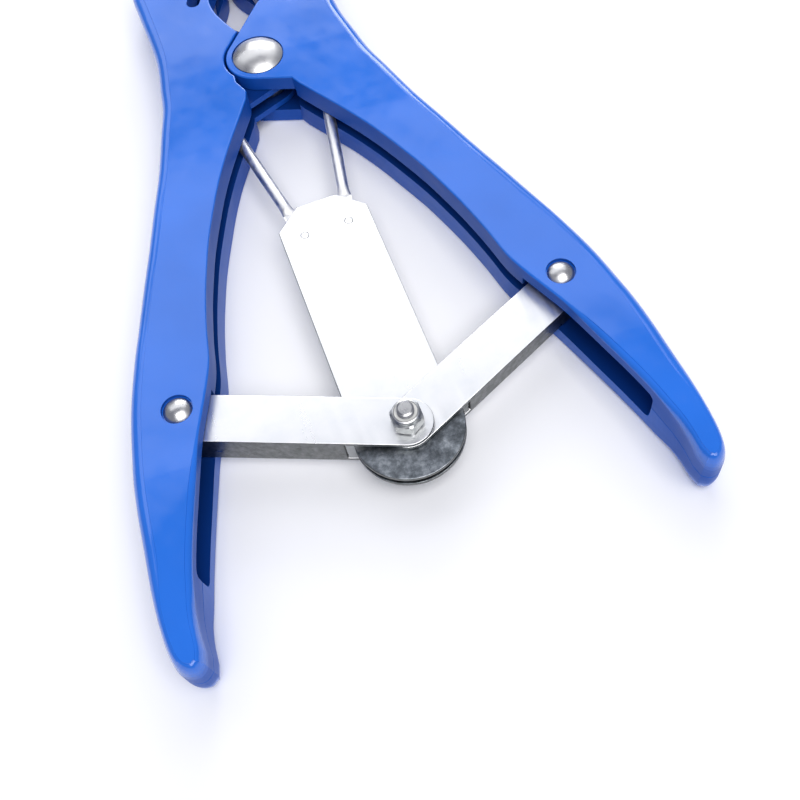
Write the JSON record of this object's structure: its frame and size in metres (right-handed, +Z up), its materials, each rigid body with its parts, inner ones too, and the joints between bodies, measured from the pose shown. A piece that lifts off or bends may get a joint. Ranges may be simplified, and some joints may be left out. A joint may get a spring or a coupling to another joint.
{
  "type": "four-prong elastic ring expander pliers",
  "caption": "Spread-to-open hand pliers: squeezing the handles parts the jaws and draws a slide back, so prongs stretch an elastic ring into a square.",
  "frame": {"origin": "on the axis of the main pivot rivet, level with the underside of the levers, which is the plane the tool lies on", "axes": "+Y from the handles to the jaws along the line midway between the levers, +Z up out of the top faces, the way the prongs point, +X to the right"},
  "size_m": [0.1282, 0.2264, 0.0304],
  "materials": {
    "blue_plastic": "glossy injection moulded",
    "polished_steel": "polished",
    "plain_steel": "satin",
    "zinc_sheet": "bright zinc plate",
    "fastener_steel": "zinc plate",
    "nylon": "matte",
    "bright_rod": "bright drawn"
  },
  "bodies": {
    "pivot": {"pivot_rivet": "polished_steel", "pivot_spacer": "plain_steel", "pivot_back_washer": "plain_steel"},
    "right_lever": {"right_lever": "blue_plastic", "right_link_rivet": "polished_steel", "right_rivet_washer": "plain_steel", "right_fixed_prong": "bright_rod"},
    "left_lever": {"left_lever": "blue_plastic", "left_link_rivet": "polished_steel", "left_rivet_washer": "plain_steel", "left_fixed_prong": "bright_rod"},
    "slide": {"slide_front_plate": "zinc_sheet", "slide_back_plate": "zinc_sheet", "slide_spacer": "plain_steel", "slide_bolt": "fastener_steel", "slide_nut": "fastener_steel", "nut_insert": "nylon", "left_rod_pin": "plain_steel", "right_rod_pin": "plain_steel"},
    "right_link": {"right_link": "zinc_sheet"},
    "left_link": {"left_link": "zinc_sheet"},
    "right_rod": {"right_rod": "bright_rod"},
    "left_rod": {"left_rod": "bright_rod"}
  },
  "joints": [
    {"name": "right_handle_squeeze", "type": "hinge", "parent": "pivot", "child": "right_lever", "pos_m": [0, 0, 0], "axis": [0, 0, -1], "range_deg": [0, 9.35]},
    {"name": "left_handle_squeeze", "type": "hinge", "parent": "pivot", "child": "left_lever", "pos_m": [0, 0, 0], "axis": [0, 0, 1], "range_deg": [0, 9.35]},
    {"name": "slide_travel", "type": "slide", "parent": "pivot", "child": "slide", "axis": [0, -1, 0], "range_m": [0, 0.02748]},
    {"name": "right_link_swing", "type": "hinge", "parent": "slide", "child": "right_link", "pos_m": [0, -0.1227, 0], "axis": [0, 0, 1], "range_deg": [0, 29.89]},
    {"name": "left_link_swing", "type": "hinge", "parent": "slide", "child": "left_link", "pos_m": [0, -0.1227, 0], "axis": [0, 0, -1], "range_deg": [0, 29.89]},
    {"name": "right_rod_swing", "type": "hinge", "parent": "slide", "child": "right_rod", "pos_m": [0.006, -0.0605, 0], "axis": [0, 0, -1], "range_deg": [0, 5.8]},
    {"name": "left_rod_swing", "type": "hinge", "parent": "slide", "child": "left_rod", "pos_m": [-0.006, -0.0605, 0], "axis": [0, 0, 1], "range_deg": [0, 5.8]}
  ],
  "couplings": [
    {"joint": "left_handle_squeeze", "follows": "right_handle_squeeze", "ratio": 1},
    {"joint": "slide_travel", "follows": "right_handle_squeeze", "m_per_rad": 0.16839},
    {"joint": "right_link_swing", "follows": "right_handle_squeeze", "ratio": 3.1963},
    {"joint": "left_link_swing", "follows": "right_handle_squeeze", "ratio": 3.1963},
    {"joint": "right_rod_swing", "follows": "right_handle_squeeze", "ratio": 0.62032},
    {"joint": "left_rod_swing", "follows": "right_handle_squeeze", "ratio": 0.62032}
  ]
}
